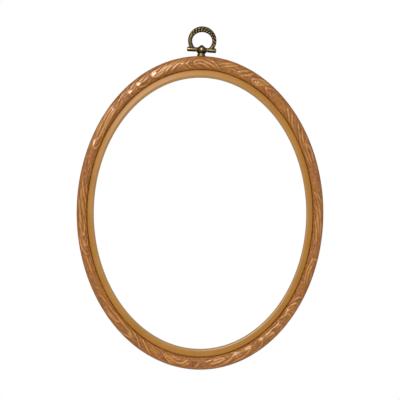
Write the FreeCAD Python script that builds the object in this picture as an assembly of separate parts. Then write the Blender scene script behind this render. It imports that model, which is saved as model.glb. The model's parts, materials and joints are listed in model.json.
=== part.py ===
import FreeCAD, Part
import math
import os

from FreeCAD import Placement, Rotation, Vector

# An oval display frame of the hoop kind. A rigid inner hoop carries the needlework or picture,
# and a thick flexible outer hoop with a rounded face is stretched over it and traps the cloth.
# A small cast hanger stands on top: a post, a cross bar made of two barrels on a hinge pin,
# and a bow that swings on that pin. A screw from inside the outer hoop holds the post.
#
# Millimetres. +X is right, +Y goes back to the wall, +Z is up. The origin is the centre of the
# oval opening, in the plane of the rear face that lies against the wall.

# Outer hoop
OUTER_WIDTH = 139.7          # across the whole frame
OUTER_HEIGHT = 177.4         # without the hanger
OUTER_SIDE_WALL = 6.1        # face width at the left and right
OUTER_TOP_WALL = 7.95        # face width at the top, where the hanger's screw needs room
OUTER_BOTTOM_WALL = 7.35     # face width at the bottom
OUTER_DEPTH = 9.5
CROWN_OUTER_ROUND = 3.0      # front edge that turns down to the outside
CROWN_BORE_ROUND = 2.3       # front edge that turns down to the inner hoop
CROWN_LAND = 0.3             # least flat left between the two rounds
OUTER_REAR_ROUND = 0.8
OUTER_BORE_LEAD = 0.4        # lead-in round at the rear of the bore

# Inner hoop
HOOP_GAP = 0.3               # room for the cloth, all round
INNER_SIDE_WALL = 3.2
INNER_END_WALL = 3.85
INNER_SETBACK = 1.5          # front face of the inner hoop behind the crown
INNER_FRONT_ROUND = 0.5      # front edge beside the outer hoop
INNER_OPENING_ROUND = 1.1    # front edge at the opening
INNER_REAR_ROUND = 0.5
LIP_THICKNESS = 1.6          # rear lip that the outer hoop seats against
LIP_REACH = 1.7              # how far the lip stands out past the bore
LIP_ROUND = 0.5

# Hanger, in its own frame: X along the bar, Z up the post, zero at the foot's seat
HANGER_LEAN = 4.0            # degrees, the hanger leans to the right as it was screwed in
HANGER_SHIFT = 0.65          # post to the right of the centre line
FOOT_SINK = 0.3              # depth of the flat spot that the foot presses into the hoop
FOOT_CLEARANCE = 0.1
FOOT_RADIUS = 2.4
FOOT_RIM = 0.6
FOOT_HEIGHT = 1.7
FOOT_SAG = 0.12              # the flare is drawn in by this much
NECK_RADIUS = 2.1
AXIS_HEIGHT = 3.45           # hinge axis above the outer hoop
BOSS_RADIUS = 2.7            # peak of the double cone in the middle of the bar
BOSS_TIP_ROUND = 0.35
BOSS_END_RADIUS = 1.3
BOSS_LENGTH = 6.3
BOSS_COLLAR = 0.7            # straight end of the boss, beside each barrel
BOSS_SAG = 0.2               # the cones are drawn in by this much

BARREL_RADIUS = 1.32
BARREL_OVERHANG = 2.55       # barrel past the middle of the bow's arm
BARREL_CHAMFER = 0.15
BARREL_SIDE_PLAY = 0.1       # between a barrel and the boss

PIN_RADIUS = 0.55
PIN_HEAD_STAND = 0.15        # rounded end that stands out of each barrel
PIN_RUNNING_GAP = 0.05       # radial, in the boss
PRESS_GAP = 0.01             # radial, drawn in press fits

BOW_RADIUS = 8.05            # outside of the bow
BOW_LANDING_ANGLE = 125.0    # degrees from the top of the bow to where each arm meets its barrel
BOW_TOP_WIDTH = 3.3
BOW_ARM_WIDTH = 2.4
BOW_TOP_DEPTH = 2.7
BOW_ARM_DEPTH = 1.9
BOW_TAPER = 1.3              # how soon the bow thins out from its top, 1 is as soon as a cosine
BOW_SECTIONS = 19
BOW_TENON_RADIUS = 0.5
BOW_TENON_GAP = 0.1          # tenon's end above the pin
BOW_BARREL_GAP = 0.03        # arm's coped end above the barrel

# Fixing screw, from inside the outer hoop up into the post
SCREW_RADIUS = 1.0
SCREW_ENGAGEMENT = 2.0       # thread in the post
SCREW_HOLE_CLEARANCE = 0.1
SCREW_TIP_CHAMFER = 0.3
SCREW_TIP_GAP = 0.2          # air past the tip, in the blind hole
SCREW_HEAD_RADIUS = 1.8
SCREW_HEAD_HEIGHT = 1.1
SCREW_HEAD_ROUND = 0.5
SCREW_SLOT_WIDTH = 0.5
SCREW_SLOT_DEPTH = 0.5
WASHER_RADIUS = 2.1
WASHER_THICKNESS = 0.4
POCKET_CLEARANCE = 0.15      # washer in its pocket
SCREW_HEAD_SINK = 0.3        # head below the bore of the outer hoop, at the middle of its top

CUT_OVERRUN = 2.0            # how far cutting tools run past what they cut

# Worked out from the sizes above
BORE_WIDTH = OUTER_WIDTH - 2 * OUTER_SIDE_WALL
BORE_HEIGHT = OUTER_HEIGHT - OUTER_TOP_WALL - OUTER_BOTTOM_WALL
OUTER_LIFT = (OUTER_TOP_WALL - OUTER_BOTTOM_WALL) / 2
OUTER_REAR_Y = -LIP_THICKNESS
OUTER_FRONT_Y = OUTER_REAR_Y - OUTER_DEPTH
INNER_WIDTH = BORE_WIDTH - 2 * HOOP_GAP
INNER_HEIGHT = BORE_HEIGHT - 2 * HOOP_GAP
OPENING_WIDTH = INNER_WIDTH - 2 * INNER_SIDE_WALL
OPENING_HEIGHT = INNER_HEIGHT - 2 * INNER_END_WALL
INNER_FRONT_Y = OUTER_FRONT_Y + INNER_SETBACK
LIP_WIDTH = BORE_WIDTH + 2 * LIP_REACH
LIP_HEIGHT = BORE_HEIGHT + 2 * LIP_REACH

# The two rounds share the thinnest wall, so they shrink together if it is too thin for both
CROWN_ROOM = min(OUTER_SIDE_WALL, OUTER_TOP_WALL, OUTER_BOTTOM_WALL) - CROWN_LAND
CROWN_FIT = min(1, CROWN_ROOM / (CROWN_OUTER_ROUND + CROWN_BORE_ROUND))
CROWN_OUTER_FITTED = CROWN_FIT * CROWN_OUTER_ROUND
CROWN_BORE_FITTED = CROWN_FIT * CROWN_BORE_ROUND

# The post stands in the middle of the straight part of the outer wall
POST_Y = (OUTER_REAR_Y - OUTER_REAR_ROUND + OUTER_FRONT_Y + CROWN_OUTER_FITTED) / 2
SEAT_Z = OUTER_HEIGHT / 2 + OUTER_LIFT - FOOT_SINK
HINGE_HEIGHT = AXIS_HEIGHT + FOOT_SINK
WALL_AT_POST = OUTER_TOP_WALL - FOOT_SINK
HEAD_TOP = WALL_AT_POST - SCREW_HEAD_SINK - SCREW_HEAD_HEIGHT
WASHER_TOP = HEAD_TOP - WASHER_THICKNESS

# The middle of each arm comes down on its barrel at the landing angle, where a tenon holds it.
# The arm's end, where its middle would reach the hinge axis, is coped away by the barrel.
BOW_MIDDLE_RADIUS = BOW_RADIUS - BOW_ARM_WIDTH / 2
BOW_CENTRE_HEIGHT = BARREL_RADIUS - BOW_MIDDLE_RADIUS * math.cos(math.radians(BOW_LANDING_ANGLE))
BOW_END_ANGLE = math.degrees(math.acos(-BOW_CENTRE_HEIGHT / BOW_MIDDLE_RADIUS))
TENON_OFFSET = BOW_MIDDLE_RADIUS * math.sin(math.radians(BOW_LANDING_ANGLE))
BARREL_START = BOSS_LENGTH / 2 + BARREL_SIDE_PLAY
BARREL_END = TENON_OFFSET + BARREL_OVERHANG

HANGER = Placement(Vector(HANGER_SHIFT, POST_Y, SEAT_Z), Rotation(Vector(0, 1, 0), HANGER_LEAN))
HINGE_AT = HANGER.multVec(Vector(0, 0, HINGE_HEIGHT))
HINGE_AXIS = HANGER.Rotation.multVec(Vector(1, 0, 0))


def oval_edge(width, height, y, lift=0):
    """Ellipse of that full width and height, in the plane y, with its centre lifted."""
    centre = Vector(0, y, lift)
    side = Vector(width / 2, y, lift)
    top = Vector(0, y, lift + height / 2)
    major, minor = (top, side) if height >= width else (side, top)
    return Part.Ellipse(major, minor, centre).toShape()


def oval_prism(width, height, rear_y, front_y, lift=0):
    """Solid oval plate from rear_y forward to front_y."""
    face = Part.Face(Part.Wire(oval_edge(width, height, rear_y, lift)))
    return face.extrude(Vector(0, front_y - rear_y, 0))


def oval_ring(width, height, hole_width, hole_height, rear_y, front_y, lift=0):
    """Oval plate with an oval hole. The plate may be lifted about the hole."""
    hole = oval_prism(hole_width, hole_height, rear_y + CUT_OVERRUN, front_y - CUT_OVERRUN)
    return oval_prism(width, height, rear_y, front_y, lift).cut(hole)


def round_oval_edge(shape, width, y, radius):
    """Rounds the oval edge of that width that lies in the plane y."""
    reach = min(radius, HOOP_GAP) / 2

    def matches(edge):
        box = edge.BoundBox
        flat = abs(box.YMin - y) < reach and abs(box.YMax - y) < reach
        return flat and abs(box.XLength - width) < reach

    return shape.makeFillet(radius, [edge for edge in shape.Edges if matches(edge)])


def revolved(points, sags, axis):
    """Solid of revolution about an axis through the origin. The side that starts at a point
    named in sags is an arc, whose middle is moved by that vector."""
    sides = []
    for index, start in enumerate(points):
        end = points[(index + 1) % len(points)]
        if index in sags:
            sides.append(Part.Arc(start, (start + end) / 2 + sags[index], end).toShape())
        else:
            sides.append(Part.makeLine(start, end))
    return Part.Face(Part.Wire(sides)).revolve(Vector(0, 0, 0), axis, 360)


def upright_disc(radius, low, high):
    """Cylinder about the post's axis, between two heights."""
    return Part.makeCylinder(radius, high - low, Vector(0, 0, low), Vector(0, 0, 1))


def bar_cylinder(radius, start, end):
    """Cylinder about the hinge axis, between two places along the bar."""
    return Part.makeCylinder(radius, end - start, Vector(start, 0, HINGE_HEIGHT), Vector(1, 0, 0))


def make_outer_hoop():
    """Flexible hoop with a rounded crown, a flat spot for the foot and a stepped screw hole."""
    hoop = oval_ring(
        OUTER_WIDTH, OUTER_HEIGHT, BORE_WIDTH, BORE_HEIGHT, OUTER_REAR_Y, OUTER_FRONT_Y, OUTER_LIFT
    )
    hoop = round_oval_edge(hoop, OUTER_WIDTH, OUTER_FRONT_Y, CROWN_OUTER_FITTED)
    hoop = round_oval_edge(hoop, BORE_WIDTH, OUTER_FRONT_Y, CROWN_BORE_FITTED)
    hoop = round_oval_edge(hoop, OUTER_WIDTH, OUTER_REAR_Y, OUTER_REAR_ROUND)
    hoop = round_oval_edge(hoop, BORE_WIDTH, OUTER_REAR_Y, OUTER_BORE_LEAD)
    pocket_floor = -WASHER_TOP
    tools = [
        upright_disc(FOOT_RADIUS + FOOT_CLEARANCE, 0, FOOT_SINK + CUT_OVERRUN),
        upright_disc(SCREW_RADIUS + SCREW_HOLE_CLEARANCE, -OUTER_TOP_WALL, CUT_OVERRUN),
        upright_disc(WASHER_RADIUS + POCKET_CLEARANCE, -OUTER_TOP_WALL - CUT_OVERRUN, pocket_floor),
    ]
    for tool in tools:
        tool.Placement = HANGER.multiply(tool.Placement)
        hoop = hoop.cut(tool)
    return hoop


def make_inner_hoop():
    """Rigid hoop: a straight band with a lip at the back, and softened edges."""
    band = oval_ring(INNER_WIDTH, INNER_HEIGHT, OPENING_WIDTH, OPENING_HEIGHT, 0, INNER_FRONT_Y)
    lip = oval_ring(LIP_WIDTH, LIP_HEIGHT, OPENING_WIDTH, OPENING_HEIGHT, 0, OUTER_REAR_Y)
    hoop = band.fuse(lip).removeSplitter()
    hoop = round_oval_edge(hoop, INNER_WIDTH, INNER_FRONT_Y, INNER_FRONT_ROUND)
    hoop = round_oval_edge(hoop, OPENING_WIDTH, INNER_FRONT_Y, INNER_OPENING_ROUND)
    hoop = round_oval_edge(hoop, LIP_WIDTH, 0, LIP_ROUND)
    return round_oval_edge(hoop, OPENING_WIDTH, 0, INNER_REAR_ROUND)


def make_hanger_post():
    """Foot, neck and double-cone boss in one casting, bored across for the pin."""
    foot_and_neck = revolved(
        [
            Vector(0, 0, 0),
            Vector(FOOT_RADIUS, 0, 0),
            Vector(FOOT_RADIUS, 0, FOOT_RIM),
            Vector(NECK_RADIUS, 0, FOOT_HEIGHT),
            Vector(NECK_RADIUS, 0, HINGE_HEIGHT),
            Vector(0, 0, HINGE_HEIGHT),
        ],
        {2: Vector(-FOOT_SAG, 0, 0)},
        Vector(0, 0, 1),
    )
    half = BOSS_LENGTH / 2
    cone_end = half - BOSS_COLLAR
    boss = revolved(
        [
            Vector(-half, 0, 0),
            Vector(-half, 0, BOSS_END_RADIUS),
            Vector(-cone_end, 0, BOSS_END_RADIUS),
            Vector(-BOSS_TIP_ROUND, 0, BOSS_RADIUS),
            Vector(BOSS_TIP_ROUND, 0, BOSS_RADIUS),
            Vector(cone_end, 0, BOSS_END_RADIUS),
            Vector(half, 0, BOSS_END_RADIUS),
            Vector(half, 0, 0),
        ],
        {2: Vector(0, 0, -BOSS_SAG), 4: Vector(0, 0, -BOSS_SAG)},
        Vector(1, 0, 0),
    )
    boss.translate(Vector(0, 0, HINGE_HEIGHT))
    post = foot_and_neck.fuse(boss)
    cross_bore = bar_cylinder(PIN_RADIUS + PIN_RUNNING_GAP, -half - CUT_OVERRUN, half + CUT_OVERRUN)
    screw_hole = upright_disc(SCREW_RADIUS + PRESS_GAP, -CUT_OVERRUN, SCREW_ENGAGEMENT + SCREW_TIP_GAP)
    return post.cut(cross_bore).cut(screw_hole)


def make_post_screw():
    """Slotted pan-head screw. It points up, and its thread is drawn as a plain shank."""
    tip = SCREW_ENGAGEMENT
    seat = -WASHER_TOP - WASHER_THICKNESS
    head_end = seat - SCREW_HEAD_HEIGHT
    shank = upright_disc(SCREW_RADIUS, seat, tip)
    shank = shank.makeChamfer(SCREW_TIP_CHAMFER, [top_edge(shank, tip)])
    head = upright_disc(SCREW_HEAD_RADIUS, head_end, seat)
    head = head.makeFillet(SCREW_HEAD_ROUND, [top_edge(head, head_end)])
    slot = Part.makeBox(
        2 * SCREW_HEAD_RADIUS + CUT_OVERRUN,
        SCREW_SLOT_WIDTH,
        SCREW_SLOT_DEPTH + CUT_OVERRUN,
        Vector(-SCREW_HEAD_RADIUS - CUT_OVERRUN / 2, -SCREW_SLOT_WIDTH / 2, head_end - CUT_OVERRUN),
    )
    return shank.fuse(head).cut(slot)


def top_edge(cylinder, height):
    """The round edge of an upright cylinder at that height."""
    def lies_there(edge):
        box = edge.BoundBox
        return box.ZLength < PRESS_GAP and abs(box.Center.z - height) < PRESS_GAP

    return next(edge for edge in cylinder.Edges if lies_there(edge))


def make_screw_washer():
    """Flat washer that keeps the screw's head from pulling through the soft hoop."""
    low = -WASHER_TOP - WASHER_THICKNESS
    hole = upright_disc(SCREW_RADIUS + SCREW_HOLE_CLEARANCE, low - CUT_OVERRUN, CUT_OVERRUN)
    return upright_disc(WASHER_RADIUS, low, -WASHER_TOP).cut(hole)


def make_barrel(side):
    """Turned sleeve on the pin. Side is -1 for the left one and 1 for the right one."""
    barrel = bar_cylinder(BARREL_RADIUS, BARREL_START, BARREL_END)
    rims = [edge for edge in barrel.Edges if edge.BoundBox.XLength < PRESS_GAP]
    barrel = barrel.makeChamfer(BARREL_CHAMFER, rims)
    bore = bar_cylinder(PIN_RADIUS + PRESS_GAP, BARREL_START - CUT_OVERRUN, BARREL_END + CUT_OVERRUN)
    tenon_hole = Part.makeCylinder(
        BOW_TENON_RADIUS + PRESS_GAP,
        BARREL_RADIUS + CUT_OVERRUN,
        Vector(TENON_OFFSET, 0, HINGE_HEIGHT),
        Vector(0, 0, 1),
    )
    barrel = barrel.cut(bore).cut(tenon_hole)
    return barrel if side > 0 else barrel.mirror(Vector(0, 0, 0), Vector(1, 0, 0))


def make_hinge_pin():
    """Pin through both barrels and the boss, with rounded ends."""
    reach = BARREL_END + PIN_HEAD_STAND
    pin = bar_cylinder(PIN_RADIUS, -reach, reach)
    rims = [edge for edge in pin.Edges if edge.BoundBox.XLength < PRESS_GAP]
    return pin.makeFillet(PIN_HEAD_STAND, rims)


def bow_section(angle):
    """Oval cross-section of the bow, at that angle from its top. It is widest at the top."""
    taper = max(0, math.cos(math.radians(angle))) ** BOW_TAPER
    width = BOW_ARM_WIDTH + (BOW_TOP_WIDTH - BOW_ARM_WIDTH) * taper
    depth = BOW_ARM_DEPTH + (BOW_TOP_DEPTH - BOW_ARM_DEPTH) * taper
    outward = Vector(math.sin(math.radians(angle)), 0, math.cos(math.radians(angle)))
    centre = Vector(0, 0, HINGE_HEIGHT + BOW_CENTRE_HEIGHT) + outward * (BOW_RADIUS - width / 2)
    wide, deep = centre + outward * (width / 2), centre + Vector(0, depth / 2, 0)
    major, minor = (wide, deep) if width >= depth else (deep, wide)
    return Part.Wire(Part.Ellipse(major, minor, centre).toShape())


def make_hanger_bow():
    """Tapering open ring, coped to sit on the barrels, with a tenon down into each."""
    step = 2 * BOW_END_ANGLE / (BOW_SECTIONS - 1)
    sections = [bow_section(-BOW_END_ANGLE + step * k) for k in range(BOW_SECTIONS)]
    bow = Part.makeLoft(sections, True)
    saddle = bar_cylinder(BARREL_RADIUS + BOW_BARREL_GAP, -BARREL_END, BARREL_END)
    bow = bow.cut(saddle)
    tenon_low = PIN_RADIUS + BOW_TENON_GAP
    tenon_high = BARREL_RADIUS + BOW_TENON_RADIUS
    for side in (-1, 1):
        foot = Vector(side * TENON_OFFSET, 0, HINGE_HEIGHT + tenon_low)
        bow = bow.fuse(Part.makeCylinder(BOW_TENON_RADIUS, tenon_high - tenon_low, foot, Vector(0, 0, 1)))
    return bow


def on_hanger(shape):
    """Stands a hanger piece on the outer hoop, with the hanger's lean."""
    shape.Placement = HANGER.multiply(shape.Placement)
    return shape


def make_parts():
    """Every piece by its name."""
    return {
        "outer_hoop": make_outer_hoop(),
        "inner_hoop": make_inner_hoop(),
        "hanger_post": on_hanger(make_hanger_post()),
        "post_screw": on_hanger(make_post_screw()),
        "screw_washer": on_hanger(make_screw_washer()),
        "left_barrel": on_hanger(make_barrel(-1)),
        "right_barrel": on_hanger(make_barrel(1)),
        "hinge_pin": on_hanger(make_hinge_pin()),
        "hanger_bow": on_hanger(make_hanger_bow()),
    }


os.makedirs("parts", exist_ok=True)
for name, shape in make_parts().items():
    print(name, "solids", len(shape.Solids), "valid", shape.isValid(), "mm3", round(shape.Volume, 2))
    shape.exportStep("parts/" + name + ".step")
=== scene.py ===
# %% [markdown]
# # An oval hoop frame with a wood-grain face
# The object is a small frame for needlework. A soft outer hoop, moulded with a wood grain, is stretched
# over a plain rigid inner hoop, and a little antique-brass hanger stands on top. This lesson dresses the
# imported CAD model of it. The model is loaded first, because every piece has to sit where the CAD says and
# move with its body.

import json
import math

import bmesh
import bpy
import numpy as np
from mathutils import Matrix, Vector, noise


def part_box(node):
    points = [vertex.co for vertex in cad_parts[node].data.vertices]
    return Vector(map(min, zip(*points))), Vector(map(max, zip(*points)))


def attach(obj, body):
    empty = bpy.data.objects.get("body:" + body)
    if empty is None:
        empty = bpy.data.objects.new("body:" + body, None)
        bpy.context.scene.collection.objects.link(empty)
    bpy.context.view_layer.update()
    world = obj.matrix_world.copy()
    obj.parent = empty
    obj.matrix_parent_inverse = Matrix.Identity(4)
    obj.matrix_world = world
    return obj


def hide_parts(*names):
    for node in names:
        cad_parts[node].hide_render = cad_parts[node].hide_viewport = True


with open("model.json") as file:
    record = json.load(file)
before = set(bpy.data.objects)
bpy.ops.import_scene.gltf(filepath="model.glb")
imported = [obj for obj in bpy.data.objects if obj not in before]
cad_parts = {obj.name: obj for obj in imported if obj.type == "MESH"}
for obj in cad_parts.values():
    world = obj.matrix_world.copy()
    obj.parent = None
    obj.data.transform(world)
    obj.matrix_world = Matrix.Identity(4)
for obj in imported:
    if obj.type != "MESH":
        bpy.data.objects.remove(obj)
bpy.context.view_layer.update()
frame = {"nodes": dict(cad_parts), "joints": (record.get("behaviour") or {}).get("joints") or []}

# %% [markdown]
# ## One helper for nodes and one for colours
# Each finish on this frame is a small node tree. Colours are picked as they look on a screen, in hex, and
# Blender calculates in linear light, so one function turns them over. Another adds a node with its
# settings and its links in one line, which keeps each finish short enough to read.

# %% Colour and node helpers
MM = 0.001


def paint(code):
    """Screen colour such as "a0683c" as linear red, green, blue and alpha, by the sRGB formula."""
    screen = [int(code[k:k + 2], 16) / 255 for k in (0, 2, 4)]
    return [c / 12.92 if c <= 0.04045 else ((c + 0.055) / 1.055) ** 2.4 for c in screen] + [1.0]


def add_node(tree, kind, sockets=(), **settings):
    """New node with its settings. Sockets maps an input to a value or to another node's output."""
    node = tree.nodes.new(kind)
    for name, value in settings.items():
        setattr(node, name, value)
    for name, value in dict(sockets).items():
        if isinstance(value, bpy.types.NodeSocket):
            tree.links.new(value, node.inputs[name])
        else:
            node.inputs[name].default_value = value
    return node


def new_finish(name):
    """Empty material with its shader in place. Returns the material, its tree and the shader."""
    finish = bpy.data.materials.new(name)
    finish.use_nodes = True
    return finish, finish.node_tree, finish.node_tree.nodes["Principled BSDF"]


print("a screen grey of 808080 is", round(paint("808080")[0], 3), "in linear light")

# %% [markdown]
# ## Sizes of the two hoops
# The overall sizes are read from the CAD nodes, and only what a box can't tell, such as a wall or the
# radius of an edge, is written here. A hoop's wall is thinner at the sides than at the ends, as when a
# round ring is stretched into an oval. The outer hoop is thickest at its top, where the hanger's screw
# goes through it, so its outline sits a little higher than its bore. The soft hoop grips the rigid one, so
# the seam between them is only a hair wide.

# %% Sizes of the hoops
OUTER_LOW, OUTER_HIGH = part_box("outer_hoop")
INNER_LOW, INNER_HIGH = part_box("inner_hoop")

OUTER_SIDE_WALL = 6.1 * MM
OUTER_TOP_WALL = 7.95 * MM
OUTER_BOTTOM_WALL = 7.35 * MM
CROWN_OUTER_ROUND = 3.0 * MM
CROWN_BORE_ROUND = 2.3 * MM
OUTER_REAR_ROUND = 0.8 * MM
OUTER_BORE_LEAD = 0.4 * MM
SEAM_GAP = 0.06 * MM
INNER_SIDE_WALL = 3.44 * MM
INNER_END_WALL = 4.09 * MM

OUTER_SIDE = OUTER_HIGH.x
OUTER_LIFT = (OUTER_TOP_WALL - OUTER_BOTTOM_WALL) / 2
OUTER_END = OUTER_LIFT - OUTER_LOW.z
BORE_SIDE = OUTER_SIDE - OUTER_SIDE_WALL
BORE_END = OUTER_END - OUTER_LIFT - OUTER_BOTTOM_WALL
LIP_SIDE = INNER_HIGH.x
LIP_END = INNER_HIGH.z
BAND_SIDE = BORE_SIDE - SEAM_GAP
BAND_END = BORE_END - SEAM_GAP
OPENING_SIDE = BAND_SIDE - INNER_SIDE_WALL
OPENING_END = BAND_END - INNER_END_WALL
print("opening in mm:", round(2 * OPENING_SIDE / MM, 1), "by", round(2 * OPENING_END / MM, 1))

# %% [markdown]
# ## From a profile to an oval ring
# Both hoops are one profile carried round. An oval could be a curve with a bevel, but then the walls would
# be equal everywhere. Instead a closed profile is spun into a round ring, and the ring is drawn out in
# height: each radius at the sides gets its own radius at the top and bottom, and its own lift, so the walls
# grow towards the ends as they do on the object. One sector is spun finely and then copied round, which is
# much quicker than spinning every step.

# %% Ring helpers
SECTORS = 20
WELD_DISTANCE = 0.001 * MM
CREASE_ANGLE = 40


def rounded_profile(bm, corners, spacing):
    """Closed outline in the plane x = 0. A corner is radius, depth, edge radius and steps."""
    verts = [bm.verts.new((0, depth, radius)) for radius, depth, _, _ in corners]
    for here, there in zip(verts, verts[1:] + verts[:1]):
        bm.edges.new((here, there))
    for vert, (_, _, edge_radius, steps) in zip(verts, corners):
        bmesh.ops.bevel(bm, geom=[vert], offset=edge_radius, offset_type="OFFSET", segments=steps,
                        profile=0.5, affect="VERTICES", material=-1)
    for edge in bm.edges[:]:
        cuts = math.ceil(edge.calc_length() / spacing(edge)) - 1
        if cuts > 0:
            bmesh.ops.subdivide_edges(bm, edges=[edge], cuts=cuts)


def spin_to_oval(bm, steps, side_radii, end_radii, lifts):
    """Spins the outline about the depth axis, then gives each side radius its end radius and lift."""
    sector = math.tau / SECTORS
    bmesh.ops.spin(bm, geom=bm.verts[:] + bm.edges[:], cent=(0, 0, 0), axis=(0, 1, 0), angle=sector,
                   steps=steps)
    bmesh.ops.spin(bm, geom=bm.verts[:] + bm.edges[:] + bm.faces[:], cent=(0, 0, 0), axis=(0, 1, 0),
                   angle=math.tau - sector, steps=SECTORS - 1, use_duplicate=True)
    for vert in bm.verts:
        radius = math.hypot(vert.co.x, vert.co.z)
        vert.co.z *= float(np.interp(radius, side_radii, end_radii)) / radius
        vert.co.z += float(np.interp(radius, side_radii, lifts))


def finished_piece(bm, name, finish, body, replaced, crease=CREASE_ANGLE):
    """Turns the build mesh into a piece that rides on its body and stands for its CAD node."""
    bmesh.ops.remove_doubles(bm, verts=bm.verts[:], dist=WELD_DISTANCE)
    bmesh.ops.recalc_face_normals(bm, faces=bm.faces[:])
    mesh = bpy.data.meshes.new(name)
    bm.to_mesh(mesh)
    bm.free()
    mesh.shade_smooth()
    mesh.set_sharp_from_angle(angle=math.radians(crease))
    mesh.materials.append(finish)
    piece = bpy.data.objects.new(name, mesh)
    bpy.context.scene.collection.objects.link(piece)
    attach(piece, body)
    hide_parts(replaced)
    print(name, len(mesh.vertices), "vertices", len(mesh.polygons), "faces")
    return piece


# %% [markdown]
# ## Patterns that run with the hoop
# Wood fibres run round the hoop. Noise laid on plain space would cut straight across its sides, so the mesh
# carries each point's place along and across its surface, which a later cell writes, and the noise is
# stretched along that. Two more helpers draw a value out to another range and mix two colours.

# %% Pattern helpers
def noise_along(tree, length, width, detail):
    """Noise that runs along the hoop, with that length and width."""
    place = add_node(tree, "ShaderNodeAttribute", attribute_name="grain_place").outputs["Vector"]
    scaled = add_node(tree, "ShaderNodeMapping", {
        "Vector": place, "Scale": (1 / length, 1 / length, 1 / width)}).outputs["Vector"]
    return add_node(tree, "ShaderNodeTexNoise", {
        "Vector": scaled, "Scale": 1.0, "Detail": detail}).outputs["Fac"]


def ranged(tree, value, low, high, to_low=0.0, to_high=1.0):
    """A value's share of the way from low to high, drawn out to another range."""
    return add_node(tree, "ShaderNodeMapRange", {
        "Value": value, "From Min": low, "From Max": high, "To Min": to_low, "To Max": to_high,
    }).outputs["Result"]


def mixed(tree, factor, first, second):
    """Mix of two colours."""
    return add_node(tree, "ShaderNodeMix", {"Factor": factor, "A": first, "B": second},
                    data_type="RGBA").outputs["Result"]


# %% [markdown]
# ## The outer hoop's vinyl
# The real one is soft PVC, moulded in a tan colour with a raised wood grain. A brown stain is wiped over it
# and stays in the low ground, so the ridges keep the golden tan. The finish reads from attributes of the
# mesh how high each point stands, where the knot is and where the hoop is rubbed, and adds streaks, patches
# and pores of its own. Real fibres and pores are finer than these, which are drawn as coarse as they need
# to be to show. Handling polishes the ridges, most of all on their broad bends, so these shine while the
# stained ground stays duller.

# %% Wood-grain vinyl
STREAK_LENGTH = 9 * MM
STREAK_WIDTH = 0.8 * MM
PATCH_LENGTH = 16 * MM
PATCH_WIDTH = 5 * MM
PORE_LENGTH = 5.0 * MM
PORE_WIDTH = 0.5 * MM
TONE_RANGE = (0.35, 0.65)
STAIN_RANGE = (0.0, 0.45)
WIPED_RANGE = (0.6, 0.95)
PORE_RANGE = (0.48, 0.72)
PORE_STAIN = 0.75
POLISHED_RANGE = (0.55, 1.0)
VINYL_ROUGHNESS = (0.4, 0.24)
VINYL_GLOSS = (0.35, 0.72)
VINYL_IOR = 1.52
STREAK_DEPTH = 0.06 * MM
STREAK_BUMP = 0.5


def make_vinyl():
    """Glossy soft PVC with brown stain in the low ground."""
    finish, tree, shader = new_finish("stained_moulded_pvc")
    height = add_node(tree, "ShaderNodeAttribute", attribute_name="grain_height").outputs["Fac"]
    knot = add_node(tree, "ShaderNodeAttribute", attribute_name="grain_knot").outputs["Fac"]
    polish = add_node(tree, "ShaderNodeAttribute", attribute_name="grain_polish").outputs["Fac"]
    streaks = noise_along(tree, STREAK_LENGTH, STREAK_WIDTH, 3.0)
    patches = noise_along(tree, PATCH_LENGTH, PATCH_WIDTH, 2.0)
    pores = noise_along(tree, PORE_LENGTH, PORE_WIDTH, 5.0)
    low = mixed(tree, ranged(tree, streaks, *TONE_RANGE), paint("733f16"), paint("865020"))
    ground = mixed(tree, ranged(tree, patches, *TONE_RANGE), paint("a0622f"), paint("ad702d"))
    ridge = mixed(tree, ranged(tree, streaks, *TONE_RANGE), paint("ba7c35"), paint("c88e3f"))
    # Low places take the stain's colours. Near the seam and the outer edge the height is lowered on purpose,
    # so the darkening there is painted shade.
    colour = mixed(tree, ranged(tree, height, *STAIN_RANGE), low, ground)
    colour = mixed(tree, ranged(tree, height, *WIPED_RANGE), colour, ridge)
    colour = mixed(tree, ranged(tree, pores, *PORE_RANGE, 0.0, PORE_STAIN), colour, paint("6b3c12"))
    colour = mixed(tree, knot, colour, paint("4a2810"))
    tree.links.new(colour, shader.inputs["Base Color"])
    shine = add_node(tree, "ShaderNodeMath", {0: ranged(tree, height, *POLISHED_RANGE), 1: polish},
                     operation="MAXIMUM").outputs[0]
    tree.links.new(ranged(tree, shine, 0.0, 1.0, *VINYL_ROUGHNESS), shader.inputs["Roughness"])
    tree.links.new(ranged(tree, shine, 0.0, 1.0, *VINYL_GLOSS), shader.inputs["Specular IOR Level"])
    bump = add_node(tree, "ShaderNodeBump", {
        "Height": streaks, "Strength": STREAK_BUMP, "Distance": STREAK_DEPTH}).outputs["Normal"]
    tree.links.new(bump, shader.inputs["Normal"])
    shader.inputs["IOR"].default_value = VINYL_IOR
    return finish


VINYL = make_vinyl()
print(VINYL.name, "with", len(VINYL.node_tree.nodes), "nodes")

# %% [markdown]
# ## The outer hoop's ring
# The outline of the outer hoop is a rectangle with two large rounds on its face and two small ones behind.
# It is divided finely where the grain will be raised and coarsely where the hoop is plain, so that the mesh
# stays small. The distance along the outline is stored on its vertices before the spin, which copies it all
# the way round: later it tells how far across the face each point lies.

# %% Spacing and girth of the outline
CROWN_SPACING = 0.27 * MM
SIDE_SPACING = 0.45 * MM
PLAIN_SPACING = 1.8 * MM
SLACK = 0.1 * MM
CROWN_DEPTH = OUTER_LOW.y + CROWN_OUTER_ROUND


def outer_spacing(edge):
    """Longest edge allowed there: short on the crown, longer on the outside, long on the plain rest."""
    middle = (edge.verts[0].co + edge.verts[1].co) / 2
    if middle.y < CROWN_DEPTH and middle.z > BORE_SIDE + SLACK:
        return CROWN_SPACING
    if middle.z > OUTER_SIDE - SLACK:
        return SIDE_SPACING
    return PLAIN_SPACING


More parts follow.
